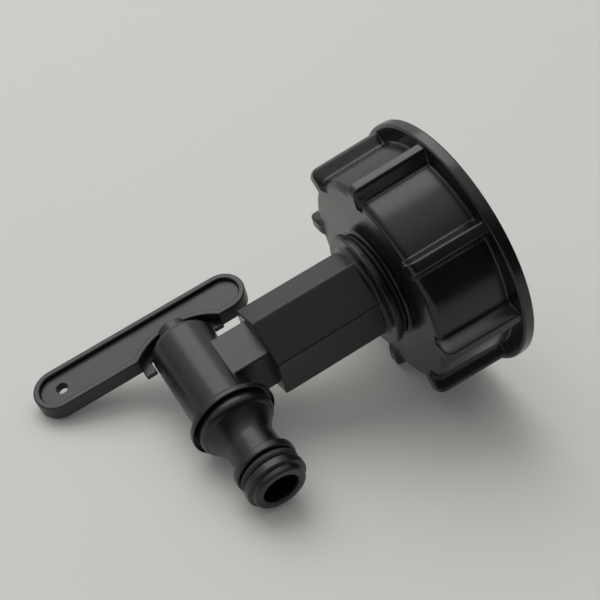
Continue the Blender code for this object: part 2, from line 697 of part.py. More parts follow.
def nozzle_outline():
    """Section of the insert from the barrel to the tip, then back down the bore."""
    shoulder = NOZZLE_SHOULDER_RADIUS
    sweep_start = NOZZLE_FLANGE_FRONT + shoulder
    sweep_radius = NOZZLE_FLANGE_RADIUS - shoulder
    seal_face = BARREL_FRONT - COUNTERBORE_DEPTH + NOZZLE_SEAL_THICKNESS + 2.0 * FIT_GAP
    flange_low = BARREL_FRONT - LIP_RECESS_DEPTH + FIT_GAP
    outline = [
        (NOZZLE_BORE_RADIUS, seal_face),
        (NOZZLE_SPIGOT_RADIUS, seal_face),
        (NOZZLE_SPIGOT_RADIUS, flange_low),
        (NOZZLE_FLANGE_RADIUS, flange_low),
    ]
    outline += arc(sweep_radius, NOZZLE_FLANGE_FRONT, shoulder, 0.0, 60.0)
    for step in range(1, SWEEP_STEPS + 1):
        share = step / SWEEP_STEPS
        fall = math.sin(0.5 * math.pi * share)
        height = sweep_start + (NOZZLE_NECK_START - sweep_start) * share
        radius = sweep_radius - (sweep_radius - NOZZLE_NECK_RADIUS) * fall
        outline.append((radius, height))
    round_edge = NOZZLE_EDGE
    outline += [
        (NOZZLE_NECK_RADIUS, COLLAR_START - NOZZLE_NECK_FLARE),
        (COLLAR_RADIUS - round_edge, COLLAR_START),
        (COLLAR_RADIUS, COLLAR_START + round_edge),
        (COLLAR_RADIUS, RING_GROOVE_START - round_edge),
        (COLLAR_RADIUS - round_edge, RING_GROOVE_START),
        (RING_GROOVE_RADIUS, RING_GROOVE_START),
        (RING_GROOVE_RADIUS, RING_GROOVE_END),
        (TIP_COLLAR_RADIUS - round_edge, RING_GROOVE_END),
        (TIP_COLLAR_RADIUS, RING_GROOVE_END + round_edge),
        (TIP_COLLAR_RADIUS, TIP_COLLAR_END - round_edge),
        (TIP_RADIUS + round_edge, TIP_COLLAR_END),
        (TIP_RADIUS, TIP_END - 2.0 * round_edge),
        (TIP_RADIUS - round_edge, TIP_END),
        (NOZZLE_BORE_RADIUS + round_edge, TIP_END),
        (NOZZLE_BORE_RADIUS, TIP_END - round_edge),
    ]
    return outline


def build_nozzle():
    """Nozzle insert, its flat seal in the barrel and the ring near its tip."""
    black = plastic("nozzle_plastic", (0.02, 0.022, 0.023), 0.36)
    rubber = plastic("nozzle_rubber", (0.018, 0.018, 0.018), 0.55)
    on_barrel = BARREL_PLACE @ BARREL_TURN
    nozzle = make_object("nozzle", revolve(nozzle_outline(), SMALL_STEPS), black, on_barrel)
    low = BARREL_FRONT - COUNTERBORE_DEPTH + FIT_GAP
    high = low + NOZZLE_SEAL_THICKNESS
    outer = NOZZLE_SPIGOT_RADIUS
    flat = [(NOZZLE_SEAL_INNER_RADIUS, low), (outer, low), (outer, high), (NOZZLE_SEAL_INNER_RADIUS, high)]
    seal = make_object("nozzle_seal", revolve(flat, SMALL_STEPS), rubber, on_barrel)
    middle = 0.5 * (RING_GROOVE_START + RING_GROOVE_END)
    major = RING_GROOVE_RADIUS + FIT_GAP + HOSE_RING_SECTION_RADIUS
    spot = on_barrel @ Matrix.Translation((0.0, 0.0, middle))
    round_ring = ring(major, HOSE_RING_SECTION_RADIUS, SMALL_STEPS, HOSE_RING_SIDES)
    hose_ring = make_object("hose_ring", round_ring, rubber, spot)
    return [nozzle, seal, hose_ring]


def build_turning_parts():
    """The parts that turn with the lever, on an empty that sits on their axis."""
    turning = bpy.data.objects.new("lever_axis", None)
    bpy.context.scene.collection.objects.link(turning)
    turning.matrix_world = BARREL_PLACE
    for part in build_plug(turning) + [build_lever(turning)]:
        part.parent = turning
        part.matrix_parent_inverse = turning.matrix_world.inverted()
    return turning


def main():
    clear_scene()
    build_cap()
    build_cap_gasket()
    build_tap_washer()
    build_backnut()
    build_tap_body()
    build_turning_parts()
    build_nozzle()


main()
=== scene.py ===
import math

import bmesh
import bpy
from mathutils import Matrix, Vector


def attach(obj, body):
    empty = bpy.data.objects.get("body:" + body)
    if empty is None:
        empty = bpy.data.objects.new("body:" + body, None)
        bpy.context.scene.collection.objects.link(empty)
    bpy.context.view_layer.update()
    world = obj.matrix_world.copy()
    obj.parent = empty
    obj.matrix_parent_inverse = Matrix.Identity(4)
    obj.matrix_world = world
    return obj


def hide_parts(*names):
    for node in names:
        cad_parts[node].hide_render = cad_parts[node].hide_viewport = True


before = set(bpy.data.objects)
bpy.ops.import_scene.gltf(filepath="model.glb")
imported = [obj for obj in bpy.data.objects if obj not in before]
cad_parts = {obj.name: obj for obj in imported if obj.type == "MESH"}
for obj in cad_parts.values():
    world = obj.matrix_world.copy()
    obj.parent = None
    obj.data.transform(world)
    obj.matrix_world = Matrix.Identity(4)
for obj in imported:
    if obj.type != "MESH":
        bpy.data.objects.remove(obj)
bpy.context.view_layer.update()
MM = 0.001


# Threaded cap
# The screw cap of the container's outlet, injection moulded in black
# polypropylene: a rim, a drafted wall, eight ribs that wrap over the closed
# end, and a coarse thread inside. The tap is clamped in its end wall. Sizes
# are in millimetres, and heights are from the cap's open rim.
CAP_RIM = 39.4
CAP_RIM_THICK = 3.6
CAP_WALL_LOW = 33.8
CAP_WALL_HIGH = 33.2
CAP_END = 26.0
CAP_CORNER = 2.4
CAP_FOOT = 0.7
CAP_BOSS = 16.9
CAP_BOSS_TOP = 26.7
CAP_HOLE = 13.3
CAP_END_INSIDE = 22.8
CAP_RIBS = 8
CAP_RIB_START = math.radians(6.5)
CAP_RIB_LOW = 38.1
CAP_RIB_HIGH = 37.5
CAP_RIB_TOP = 27.1
CAP_RIB_HALF_BASE = 3.0
CAP_RIB_SLIM = 1.5
CAP_RIB_FULL = 1.9
CAP_THREAD_ROOT = 30.4
CAP_THREAD_CREST = 28.2
CAP_THREAD_PITCH = 6.0
CAP_THREAD_END = 18.2
CAP_RIB_CIRCLE = 36.0
CAP_BLACK = (0.005, 0.0055, 0.0052)


class Wire:
    """A shader socket that takes part in sums, and makes its own nodes."""

    tree = None

    def __init__(self, socket):
        self.socket = socket

    @classmethod
    def node(cls, kind, settings=None, out=0, **inputs):
        made = cls.tree.nodes.new(kind)
        for key, value in (settings or {}).items():
            if key == "stops":
                for number, (place, shade) in enumerate(value):
                    spots = made.color_ramp.elements
                    stop = spots[number] if number < 2 else spots.new(place)
                    stop.position = place
                    stop.color = (shade, shade, shade, 1.0)
            else:
                setattr(made, key, value)
        for key, value in inputs.items():
            slot = made.inputs[int(key[1:]) if key[1:].isdigit() else key.replace("_", " ")]
            if isinstance(value, Wire):
                cls.tree.links.new(value.socket, slot)
            else:
                slot.default_value = value
        return Wire(made.outputs[out])

    def maths(self, operation, first, second):
        return Wire.node("ShaderNodeMath", {"operation": operation}, i0=first, i1=second)

    def __add__(self, other):
        return self.maths("ADD", self, other)

    __radd__ = __add__

    def __mul__(self, other):
        return self.maths("MULTIPLY", self, other)

    __rmul__ = __mul__

    def __sub__(self, other):
        return self.maths("SUBTRACT", self, other)

    def __rsub__(self, other):
        return self.maths("SUBTRACT", other, self)

    def into(self, shader, name):
        self.tree.links.new(self.socket, shader.inputs[name])


def moulded_plastic(name, shade, roughness, edge=0.35, dust=0.5):
    """Black moulded plastic: a fine tool texture, rubbed edges, scuffs and settled dust."""
    material = bpy.data.materials.new(name)
    material.use_nodes = True
    Wire.tree = material.node_tree
    shader = material.node_tree.nodes["Principled BSDF"]
    place = Wire.node("ShaderNodeTexCoord", out="Object")
    cloudy = Wire.node("ShaderNodeTexNoise", Vector=place, Scale=48.0, Detail=4.0)
    patchy = Wire.node("ShaderNodeTexNoise", Vector=place, Scale=210.0, Detail=4.0)
    fine = Wire.node("ShaderNodeTexNoise", Vector=place, Scale=2300.0, Detail=2.0)
    drawn = Wire.node("ShaderNodeMapping", Vector=place, Rotation=(0.5, 0.3, 0.9), Scale=(2600.0, 90.0, 300.0))
    strokes = Wire.node("ShaderNodeTexNoise", Vector=drawn, Scale=1.0, Detail=1.0)
    scuff = Wire.node("ShaderNodeValToRGB", {"stops": ((0.66, 0.0), (0.74, 1.0))}, Fac=strokes)
    grains = Wire.node("ShaderNodeTexVoronoi", {"feature": "F1"}, Vector=place, Scale=1100.0)
    speck = Wire.node("ShaderNodeValToRGB", {"stops": ((0.07, 1.0), (0.14, 0.0))}, Fac=grains)
    settled = Wire.node("ShaderNodeValToRGB", {"stops": ((0.42, 0.0), (0.72, 1.0))}, Fac=cloudy)
    dusty = (speck * settled + settled * 0.2) * dust
    soft = Wire.node("ShaderNodeBevel", {"samples": 4}, Radius=edge * MM)
    flat = Wire.node("ShaderNodeNewGeometry", out="Normal")
    match = Wire.node("ShaderNodeVectorMath", {"operation": "DOT_PRODUCT"}, out="Value", i0=soft, i1=flat)
    rubbed = Wire.node("ShaderNodeMapRange", Value=match, i1=0.995, i2=0.86, i3=0.0, i4=1.0) * (0.4 + patchy)
    dark = (*[0.85 * value for value in shade], 1.0)
    light = (*[1.18 * value for value in shade], 1.0)
    plain = Wire.node("ShaderNodeMix", {"data_type": "RGBA"}, out=2, i0=patchy, i6=dark, i7=light)
    worn_colour = (0.06, 0.062, 0.062, 1.0)
    worn = Wire.node(
        "ShaderNodeMix", {"data_type": "RGBA"}, out=2, i0=rubbed * 0.35 + scuff * 0.12, i6=plain, i7=worn_colour
    )
    dust_colour = (0.17, 0.165, 0.155, 1.0)
    Wire.node(
        "ShaderNodeMix", {"data_type": "RGBA"}, out=2, i0=dusty * 0.15, i6=worn, i7=dust_colour
    ).into(shader, "Base Color")
    uneven = (patchy - 0.5) * 0.1 + (cloudy - 0.5) * 0.12
    (roughness + uneven + dusty * 0.12 + scuff * 0.06).into(shader, "Roughness")
    Wire.node(
        "ShaderNodeBump", Strength=0.12, Distance=0.0002, Height=fine + patchy * 0.6, Normal=soft
    ).into(shader, "Normal")
    shader.inputs["IOR"].default_value = 1.5
    return material


def bow(centre_r, centre_z, radius, first, last, steps=8):
    """Points along an arc in a section, both ends included."""
    angles = [math.radians(first + (last - first) * step / steps) for step in range(steps + 1)]
    return [(centre_r + radius * math.cos(a), centre_z + radius * math.sin(a)) for a in angles]


def run(start, end, steps):
    """Points from start up to, but not including, end."""
    return [
        (start[0] + (end[0] - start[0]) * step / steps, start[1] + (end[1] - start[1]) * step / steps)
        for step in range(steps)
    ]


def skinned(rings, closed):
    """A form over rings of points, joined end to end or closed with a face at each end."""
    form = bmesh.new()
    loops = [[form.verts.new(point) for point in ring] for ring in rings]
    pairs = list(zip(loops, loops[1:]))
    if closed:
        pairs.append((loops[-1], loops[0]))
    else:
        form.faces.new(loops[0][::-1])
        form.faces.new(loops[-1])
    for near, far in pairs:
        for number, vert in enumerate(near):
            after = (number + 1) % len(near)
            form.faces.new((vert, near[after], far[after], far[number]))
    bmesh.ops.recalc_face_normals(form, faces=form.faces)
    return form


def piece(name, form, finish, place=Matrix.Identity(4)):
    """Make a smooth object in metres out of a form in millimetres."""
    mesh = bpy.data.meshes.new(name)
    form.to_mesh(mesh)
    form.free()
    mesh.transform(place @ Matrix.Diagonal((MM, MM, MM, 1.0)))
    mesh.shade_smooth()
    mesh.set_sharp_from_angle(angle=math.radians(38.0))
    mesh.materials.append(finish)
    made = bpy.data.objects.new(name, mesh)
    bpy.context.scene.collection.objects.link(made)
    even = made.modifiers.new("even_shading", "WEIGHTED_NORMAL")
    even.mode = "FACE_AREA"
    even.weight = 90
    even.keep_sharp = True
    return made


def cap_stations():
    """Pairs of section points, on the plain cap and on a rib, with the rib's half width."""
    plain = run((30.2, 0.1), (38.6, 0.0), 4) + bow(38.8, 0.6, 0.6, -90, 0, 4) + run((39.4, 0.9), (39.4, 2.8), 3)
    plain += bow(CAP_RIM - 0.8, CAP_RIM_THICK - 0.8, 0.8, 0, 90, 5)
    stations = [(point, point, CAP_RIB_SLIM) for point in plain]
    plain = run((38.4, CAP_RIM_THICK), (CAP_WALL_LOW + CAP_FOOT, CAP_RIM_THICK), 6)
    plain += bow(CAP_WALL_LOW + CAP_FOOT, CAP_RIM_THICK + CAP_FOOT, CAP_FOOT, 270, 180, 5)
    on_rib = run((38.5, CAP_RIM_THICK), (CAP_RIB_LOW + 0.1, CAP_RIM_THICK), 6)
    on_rib += bow(CAP_RIB_LOW + 0.1, CAP_RIM_THICK + 0.1, 0.1, 270, 180, 5)
    stations += [(low, high, CAP_RIB_SLIM) for low, high in zip(plain, on_rib)]
    wall_top = CAP_END - CAP_CORNER
    rib_wall_top = CAP_RIB_TOP - CAP_CORNER
    for step in range(1, 10):
        share = step / 10
        low = (CAP_WALL_LOW + (CAP_WALL_HIGH - CAP_WALL_LOW) * share, 4.3 + (wall_top - 4.3) * share)
        high = (CAP_RIB_LOW + (CAP_RIB_HIGH - CAP_RIB_LOW) * share, 3.8 + (rib_wall_top - 3.8) * share)
        stations.append((low, high, CAP_RIB_SLIM + 0.1 * share))
    low = bow(CAP_WALL_HIGH - CAP_CORNER, wall_top, CAP_CORNER, 0, 90, 12)
    high = bow(CAP_RIB_HIGH - CAP_CORNER, rib_wall_top, CAP_CORNER, 0, 90, 12)
    for number, pair in enumerate(zip(low, high)):
        stations.append((*pair, CAP_RIB_SLIM + 0.1 + (CAP_RIB_FULL - CAP_RIB_SLIM - 0.1) * number / 12))
    run_in = [(34.0, 27.1), (33.0, 27.1), (32.0, 27.1), (31.4, 27.05), (30.9, 26.9), (30.4, 26.6), (29.9, 26.3)]
    for number, high in enumerate(run_in + [(29.5, 26.08), (29.2, 26.0)]):
        stations.append(((30.1 - 0.11 * number, CAP_END), high, CAP_RIB_FULL))
    rest = run((28.6, CAP_END), (18.2, CAP_END), 8) + bow(17.7, CAP_END + 0.3, 0.3, 270, 215, 3)
    rest += bow(CAP_BOSS - 0.3, CAP_BOSS_TOP - 0.3, 0.3, 20, 90, 4)
    rest += run((16.2, CAP_BOSS_TOP), (CAP_HOLE + 0.3, CAP_BOSS_TOP), 3)
    rest += bow(CAP_HOLE + 0.3, CAP_BOSS_TOP - 0.3, 0.3, 90, 180, 4) + [(CAP_HOLE, 24.5)]
    rest += bow(CAP_HOLE + 0.3, CAP_END_INSIDE + 0.3, 0.3, 180, 270, 4)
    rest += run((14.5, CAP_END_INSIDE), (29.4, CAP_END_INSIDE), 8)
    rest += bow(CAP_THREAD_ROOT - 0.5, CAP_END_INSIDE - 0.5, 0.5, 90, 0, 4) + [(CAP_THREAD_ROOT, 20.0)]
    stations += [(point, point, CAP_RIB_FULL) for point in rest]
    return stations


def eased(share, soft=0.22):
    """A straight ramp from 0 to 1 whose two corners are rounded."""
    if share <= -soft:
        return 0.0
    if share < soft:
        return (share + soft) ** 2 / (4.0 * soft)
    if share <= 1.0 - soft:
        return share
    if share < 1.0 + soft:
        return 1.0 - (1.0 + soft - share) ** 2 / (4.0 * soft)
    return 1.0


def thread_depth(turn, height):
    """How far the thread's groove is cut there, from 0 on the crest to 1 at the root."""
    phase = (height / CAP_THREAD_PITCH - turn) % 1.0
    from_root = abs(phase - 0.5) * CAP_THREAD_PITCH
    runout = eased((height - 0.5) / 1.6, 0.4) if height < 3.0 else 1.0
    return eased((2.4 - from_root) / 1.6, 0.3) * runout


def cap_rings():
    """The cap's rings, one for each section point, from the mouth over the end and back."""
    offsets = [0.0, 0.6, 0.9, 1.05, 1.2, 1.35, 1.5, 1.65, 1.8, 1.95]
    offsets += [2.1, 2.3, 2.5, 2.7, 2.9, 3.05, 3.2, 3.35, 3.5, 3.8]
    half_pitch = math.pi / CAP_RIBS
    last = math.asin(offsets[-1] / CAP_RIB_CIRCLE)
    half = [math.asin(offset / CAP_RIB_CIRCLE) for offset in offsets]
    half += [last + (half_pitch - last) * step / 9 for step in range(1, 10)]
    spread = [-angle for angle in half[:0:-1]][1:] + half
    turns = []
    for rib in range(CAP_RIBS):
        middle = CAP_RIB_START + math.tau * rib / CAP_RIBS
        turns += [(middle + angle, abs(CAP_RIB_CIRCLE * math.sin(angle))) for angle in spread]
    rings = []
    for low, high, half_crest in cap_stations():
        ring = []
        for angle, aside in turns:
            share = 1.0 - eased((aside - half_crest) / (CAP_RIB_HALF_BASE - half_crest), 0.3)
            radius = low[0] + share * (high[0] - low[0])
            height = low[1] + share * (high[1] - low[1])
            ring.append((radius * math.cos(angle), radius * math.sin(angle), height))
        rings.append(ring)
    for step in range(66):
        height = CAP_THREAD_END - (CAP_THREAD_END - 0.35) * step / 65
        ring = []
        for angle, aside in turns:
            cut = max(thread_depth(angle / math.tau, height), eased((height - 16.6) / 1.4, 0.3))
            mouth = max(0.0, 1.8 - height)
            radius = CAP_THREAD_CREST + max((CAP_THREAD_ROOT - CAP_THREAD_CREST) * cut, mouth)
            ring.append((radius * math.cos(angle), radius * math.sin(angle), height))
        rings.append(ring)
    return rings


CAP_ROUGHNESS = 0.21
cap_finish = moulded_plastic("cap_black", CAP_BLACK, CAP_ROUGHNESS)
cap = piece("cap_moulding", skinned(cap_rings(), True), cap_finish)
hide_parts("threaded_cap")
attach(cap, "adapter")


# Rubber rings
# The flat gasket on the cap's end wall, the washer under the tap's flange and
# the small rings of the plug and the nozzle are matt black nitrile rubber,
# each stretched or laid into its seat. Those ON_BARREL lie round its axis.
RUBBER_BLACK = (0.009, 0.009, 0.009)
AXIS_HEIGHT = 82.8
ON_BARREL = Matrix.Translation((0.0, 0.0, AXIS_HEIGHT * MM)) @ Matrix.Rotation(math.radians(90.0), 4, "Y")


def rubber(name, shade):
    """Matt rubber with a fine grain, a faint bloom and a little lint."""
    material = bpy.data.materials.new(name)
    material.use_nodes = True
    Wire.tree = material.node_tree
    shader = material.node_tree.nodes["Principled BSDF"]
    place = Wire.node("ShaderNodeTexCoord", out="Object")
    bloom = Wire.node("ShaderNodeTexNoise", Vector=place, Scale=150.0, Detail=4.0)
    grain = Wire.node("ShaderNodeTexNoise", Vector=place, Scale=3000.0, Detail=2.0)
    pale = (*[2.2 * value for value in shade], 1.0)
    Wire.node(
        "ShaderNodeMix", {"data_type": "RGBA"}, out=2, i0=bloom * 0.7, i6=(*shade, 1.0), i7=pale
    ).into(shader, "Base Color")
    (0.55 + bloom * 0.15).into(shader, "Roughness")
    Wire.node("ShaderNodeBump", Strength=0.2, Distance=0.0001, Height=grain + bloom * 0.4).into(shader, "Normal")
    return material


def turned(outline, steps=144):
    """Rings round the Z axis through (radius, height) points that stay off the axis."""
    angles = [math.tau * step / steps for step in range(steps)]
    return [[(radius * math.cos(a), radius * math.sin(a), height) for a in angles] for radius, height in outline]


def flat_ring(inner, outer, low, high, edge=0.25):
    """The section of a flat ring with its four edges rounded."""
    corners = ((outer - edge, low + edge), (outer - edge, high - edge))
    corners += ((inner + edge, high - edge), (inner + edge, low + edge))
    return [point for turn, spot in enumerate(corners) for point in bow(*spot, edge, 90 * turn - 90, 90 * turn, 4)]


def round_ring(major, section):
    """The section of a ring of round rubber."""
    return bow(major, 0.0, section, 0, 360, 20)[:-1]


rubber_finish = rubber("nitrile_black", RUBBER_BLACK)
RINGS = (
    ("flat_gasket", "cap_gasket", "adapter", flat_ring(22.5, 27.9, 19.7, 22.5), 0.0, False),
    ("flange_washer", "tap_washer", "adapter", flat_ring(13.3, 16.6, 27.0, 28.3), 0.0, False),
    ("insert_seal", "nozzle_seal", "adapter", flat_ring(6.2, 9.0, 9.3, 10.7), 0.0, True),
    ("hose_seal", "hose_ring", "adapter", round_ring(7.3, 1.3), 34.55, True),
    ("plug_ring_back", "plug_seal_back", "lever_and_plug", round_ring(6.6, 0.6), -9.4, True),
    ("plug_ring_front", "plug_seal_front", "lever_and_plug", round_ring(6.6, 0.6), 6.5, True),
)
for name, node, body, section, along, on_barrel in RINGS:
    spot = Matrix.Translation((0.0, 0.0, along * MM))
    place = ON_BARREL @ spot if on_barrel else spot
    seal = piece(name, skinned(turned(section), True), rubber_finish, place)
    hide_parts(node)
    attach(seal, body)


# Backnut
# A hexagonal polypropylene nut inside the cap. It is screwed up the tap's
# threaded inlet and pulls the tap's flange down on the cap.
NUT_FLATS = 34.0
NUT_LOW = 15.5
NUT_TOP = 22.5
NUT_COLLAR = 18.6
NUT_BORE = 13.4
NUT_CORNER = 0.8
TAP_BLACK = (0.006, 0.0066, 0.0065)
TAP_ROUGHNESS = 0.29


def cornered(across_flats, corner, height, inset=0.0, sides=6, first=30.0):
    """A ring of points round a hexagon with rounded corners."""
    ring = []
    apothem = 0.5 * across_flats - inset
    round_off = max(corner - inset, 0.05)
    reach = (apothem - round_off) / math.cos(math.pi / sides)
    for side in range(sides):
        middle = math.radians(first + 360.0 * side / sides)
        for step in range(9):
            angle = middle + math.pi / sides * (step / 4.0 - 1.0)
            ring.append((
                reach * math.cos(middle) + round_off * math.cos(angle),
                reach * math.sin(middle) + round_off * math.sin(angle),
                height,
            ))
    return ring


def circle(radius, height, count=54):
    """A ring of points round a circle."""
    angles = [math.tau * step / count for step in range(count)]
    return [(radius * math.cos(a), radius * math.sin(a), height) for a in angles]


tap_finish = moulded_plastic("tap_black", TAP_BLACK, TAP_ROUGHNESS)
nut_rings = [
    circle(NUT_BORE, NUT_TOP),
    circle(NUT_BORE, NUT_LOW + 0.6),
    circle(NUT_BORE + 0.6, NUT_LOW),
    cornered(NUT_FLATS, NUT_CORNER, NUT_LOW, 1.2),
    cornered(NUT_FLATS, NUT_CORNER, NUT_LOW + 0.15, 0.5),
    cornered(NUT_FLATS, NUT_CORNER, NUT_LOW + 0.8),
    cornered(NUT_FLATS, NUT_CORNER, NUT_TOP - 2.4),
    cornered(NUT_FLATS, NUT_CORNER, NUT_TOP - 1.9, 0.4),
    circle(NUT_COLLAR, NUT_TOP - 1.6),
    circle(NUT_COLLAR, NUT_TOP - 0.3),
    circle(NUT_COLLAR - 0.3, NUT_TOP),
]
nut = piece("inner_nut", skinned(nut_rings, True), tap_finish)
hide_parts("backnut")
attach(nut, "adapter")


# Tap body
# The flange, the hexagonal tube, the square neck and the barrel with its
# flared lip are one black moulding, bored for the liquid's way and the plug.
SPIGOT = 12.1
SPIGOT_LOW = 10.0
INLET_WAY = 8.6
TAP_FLANGE = 17.8
TAP_FLANGE_LOW = 28.6
TAP_FLANGE_TOP = 31.0
HEX_FLATS = 24.0
HEX_CORNER = 0.9
HEX_END = 65.6
NECK_X = 14.4
NECK_Y = 15.4
BARREL = 9.9
BARREL_BACK = -18.0
BARREL_EDGE = 3.0
BARREL_FRONT = 15.0
BARREL_BORE = 7.5
STEM_HOLE = 3.7
HUB_RECESS = 5.2
INSERT_SEAT = 9.3
FLARE_START = 10.9
FLARE_LENGTH = 2.6
LIP = 12.7
LIP_RECESS = 12.3


def solid(name, form, place=Matrix.Identity(4)):
    """A working object in millimetres, to be joined to others."""
    mesh = bpy.data.meshes.new(name)
    form.to_mesh(mesh)
    form.free()
    mesh.transform(place)
    made = bpy.data.objects.new(name, mesh)
    bpy.context.scene.collection.objects.link(made)
    return made


def joined(target, steps):
    """Add solids to the target or cut them away, in order, and keep the result's mesh."""
    for operation, tool in steps:
        step = target.modifiers.new(tool.name, "BOOLEAN")
        step.operation = operation
        step.solver = "EXACT"
        step.object = tool
    graph = bpy.context.evaluated_depsgraph_get()
    result = bpy.data.meshes.new_from_object(target.evaluated_get(graph))
    form = bmesh.new()
    form.from_mesh(result)
    bmesh.ops.remove_doubles(form, verts=form.verts, dist=0.002)
    for used in [target] + [tool for operation, tool in steps]:
        bpy.data.objects.remove(used, do_unlink=True)
    return form


def turned_solid(outline, steps=128):
    """A solid turned about the Z axis, closed with a flat face at each end."""
    return skinned(turned(outline, steps), False)


def boxed(x_low, x_high, y_low, y_high, round_off, heights):
    """Rings of a box with rounded upright edges; heights are (height, inset) pairs."""
    rings = []
    for height, inset in heights:
        ring = []
        for number, (x_sign, y_sign) in enumerate(((1, 1), (-1, 1), (-1, -1), (1, -1))):
            corner_x = (x_high if x_sign > 0 else x_low) - x_sign * (round_off + inset)
            corner_y = (y_high if y_sign > 0 else y_low) - y_sign * (round_off + inset)
            for step in range(6):
                angle = math.radians(90 * number + 18 * step)
                across, along = round_off * math.cos(angle), round_off * math.sin(angle)
                ring.append((corner_x + across, corner_y + along, height))
        rings.append(ring)
    return rings


inlet = run((SPIGOT - 0.5, SPIGOT_LOW), (SPIGOT, SPIGOT_LOW + 0.6), 2)
inlet += run((SPIGOT, SPIGOT_LOW + 1.0), (SPIGOT, TAP_FLANGE_LOW), 4)
inlet += bow(TAP_FLANGE - 0.5, TAP_FLANGE_LOW + 0.5, 0.5, -90, 0, 6)
inlet += bow(TAP_FLANGE - 0.6, TAP_FLANGE_TOP - 0.6, 0.6, 0, 90, 6)
inlet += bow(15.0, TAP_FLANGE_TOP + 1.5, 1.5, 270, 200, 6) + [(10.2, 33.0)]
hex_heights = [(29.8, 0.0), (HEX_END - 0.5, 0.0), (HEX_END - 0.35, 0.04), (HEX_END - 0.15, 0.17), (HEX_END, 0.5)]
barrel = bow(BARREL - BARREL_EDGE, BARREL_BACK + BARREL_EDGE, BARREL_EDGE, -90, 0, 10)
for step in range(13):
    share = step / 12
    flare = (LIP - BARREL) * (1.0 - math.cos(0.5 * math.pi * share))
    barrel.append((BARREL + flare, FLARE_START + FLARE_LENGTH * share))
barrel += bow(LIP - 0.35, BARREL_FRONT - 0.35, 0.35, 0, 90, 5)
hollow = [(HUB_RECESS, -20.0), (HUB_RECESS, -16.8), (STEM_HOLE, -16.8), (STEM_HOLE, -13.6)]
hollow += [(BARREL_BORE, -13.6), (BARREL_BORE, 9.0), (INSERT_SEAT, 9.0), (INSERT_SEAT, 13.7)]
hollow += [(LIP_RECESS - 0.35, 13.7), (LIP_RECESS, 13.95), (LIP_RECESS, 14.85)]
hollow += [(LIP_RECESS + 0.2, BARREL_FRONT + 0.02), (LIP_RECESS + 0.2, BARREL_FRONT + 1.0)]
way_in = [(INLET_WAY, 9.0), (INLET_WAY, 62.0), (5.0, 64.0), (5.0, AXIS_HEIGHT)]
upright = Matrix.Translation((0.0, 0.0, AXIS_HEIGHT)) @ Matrix.Rotation(math.radians(90.0), 4, "Y")
neck_heights = [(62.6, 0.0), (AXIS_HEIGHT, 0.0)]
body_form = joined(solid("inlet", turned_solid(inlet)), (
    ("UNION", solid("tube", skinned(
        [cornered(HEX_FLATS, HEX_CORNER, height, inset) for height, inset in hex_heights], False
    ))),
    ("UNION", solid("neck", skinned(
        boxed(-0.5 * NECK_X, 0.5 * NECK_X, -0.5 * NECK_Y, 0.5 * NECK_Y, 0.8, neck_heights), False
    ))),
    ("UNION", solid("barrel", turned_solid(barrel), upright)),
    ("DIFFERENCE", solid("hollow", turned_solid(hollow, 96), upright)),
    ("DIFFERENCE", solid("way_in", turned_solid(way_in, 96))),
))
tap = piece("tap_moulding", body_form, tap_finish)
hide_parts("tap_body")
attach(tap, "adapter")


# Inlet thread
# The pipe thread of the tap's inlet, 1.8 mm pitch, moulded with the tap. It
# shows inside the cap, below the backnut.
PIPE_PITCH = 1.8
PIPE_CREST = 12.95
PIPE_ROOT = 12.15
PIPE_INSIDE = 11.9
PIPE_LOW = 10.15
PIPE_LENGTH = 17.3
PIPE_SIDES = 120


def pipe_rings():
    """Rings of the threaded sleeve, from its plain inside round its threaded outside."""
    rings = [circle(PIPE_INSIDE, 27.5, PIPE_SIDES), circle(PIPE_INSIDE, 10.3, PIPE_SIDES)]
    for step in range(150):
        height = PIPE_LOW + PIPE_LENGTH * step / 149
        ring = []
        for point in circle(1.0, height, PIPE_SIDES):
            turn = math.atan2(point[1], point[0]) / math.tau
            phase = (height / PIPE_PITCH - turn) % 1.0
            rise = eased(1.25 - abs(phase - 0.5) * 4.0, 0.3) * eased((height - 10.2) / 1.4, 0.3)
            radius = PIPE_ROOT + (PIPE_CREST - PIPE_ROOT) * rise
            ring.append((radius * point[0], radius * point[1], height))
        rings.append(ring)
    return rings


pipe = piece("inlet_thread", skinned(pipe_rings(), True), tap_finish)
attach(pipe, "adapter")


# Nozzle
# The hose insert is a separate black moulding that is pressed into the
# barrel's lip: a flange, a swept neck, two collars and a rounded tip.
NOZZLE_BLACK = (0.005, 0.0056, 0.0055)
NOZZLE_PLUG = 9.0
NOZZLE_PLUG_START = 11.0
NOZZLE_SHOULDER = 11.2
NOZZLE_SWEEP = (10.02, 18.35)
NOZZLE_NECK = 7.2
NOZZLE_NECK_START = 24.5
NOZZLE_COLLAR = 9.0
NOZZLE_GROOVE = 5.8
GROOVE_START = 33.1
GROOVE_END = 36.0
NOZZLE_TIP = 40.5
nozzle_finish = moulded_plastic("nozzle_black", NOZZLE_BLACK, 0.3)
insert = run((5.1, NOZZLE_PLUG_START), (NOZZLE_PLUG - 0.3, NOZZLE_PLUG_START), 3)
insert += bow(NOZZLE_PLUG - 0.3, NOZZLE_PLUG_START + 0.3, 0.3, -90, 0, 3) + [(NOZZLE_PLUG, 14.0)]
insert += bow(NOZZLE_SHOULDER - 0.3, 14.3, 0.3, -90, 0, 3) + bow(NOZZLE_SHOULDER - 2.2, 16.4, 2.2, 0, 62, 10)
for step in range(1, 25):
    share = step / 24
    fall = (NOZZLE_SWEEP[0] - NOZZLE_NECK) * math.sin(0.5 * math.pi * share)
    insert.append((NOZZLE_SWEEP[0] - fall, NOZZLE_SWEEP[1] + (NOZZLE_NECK_START - NOZZLE_SWEEP[1]) * share))
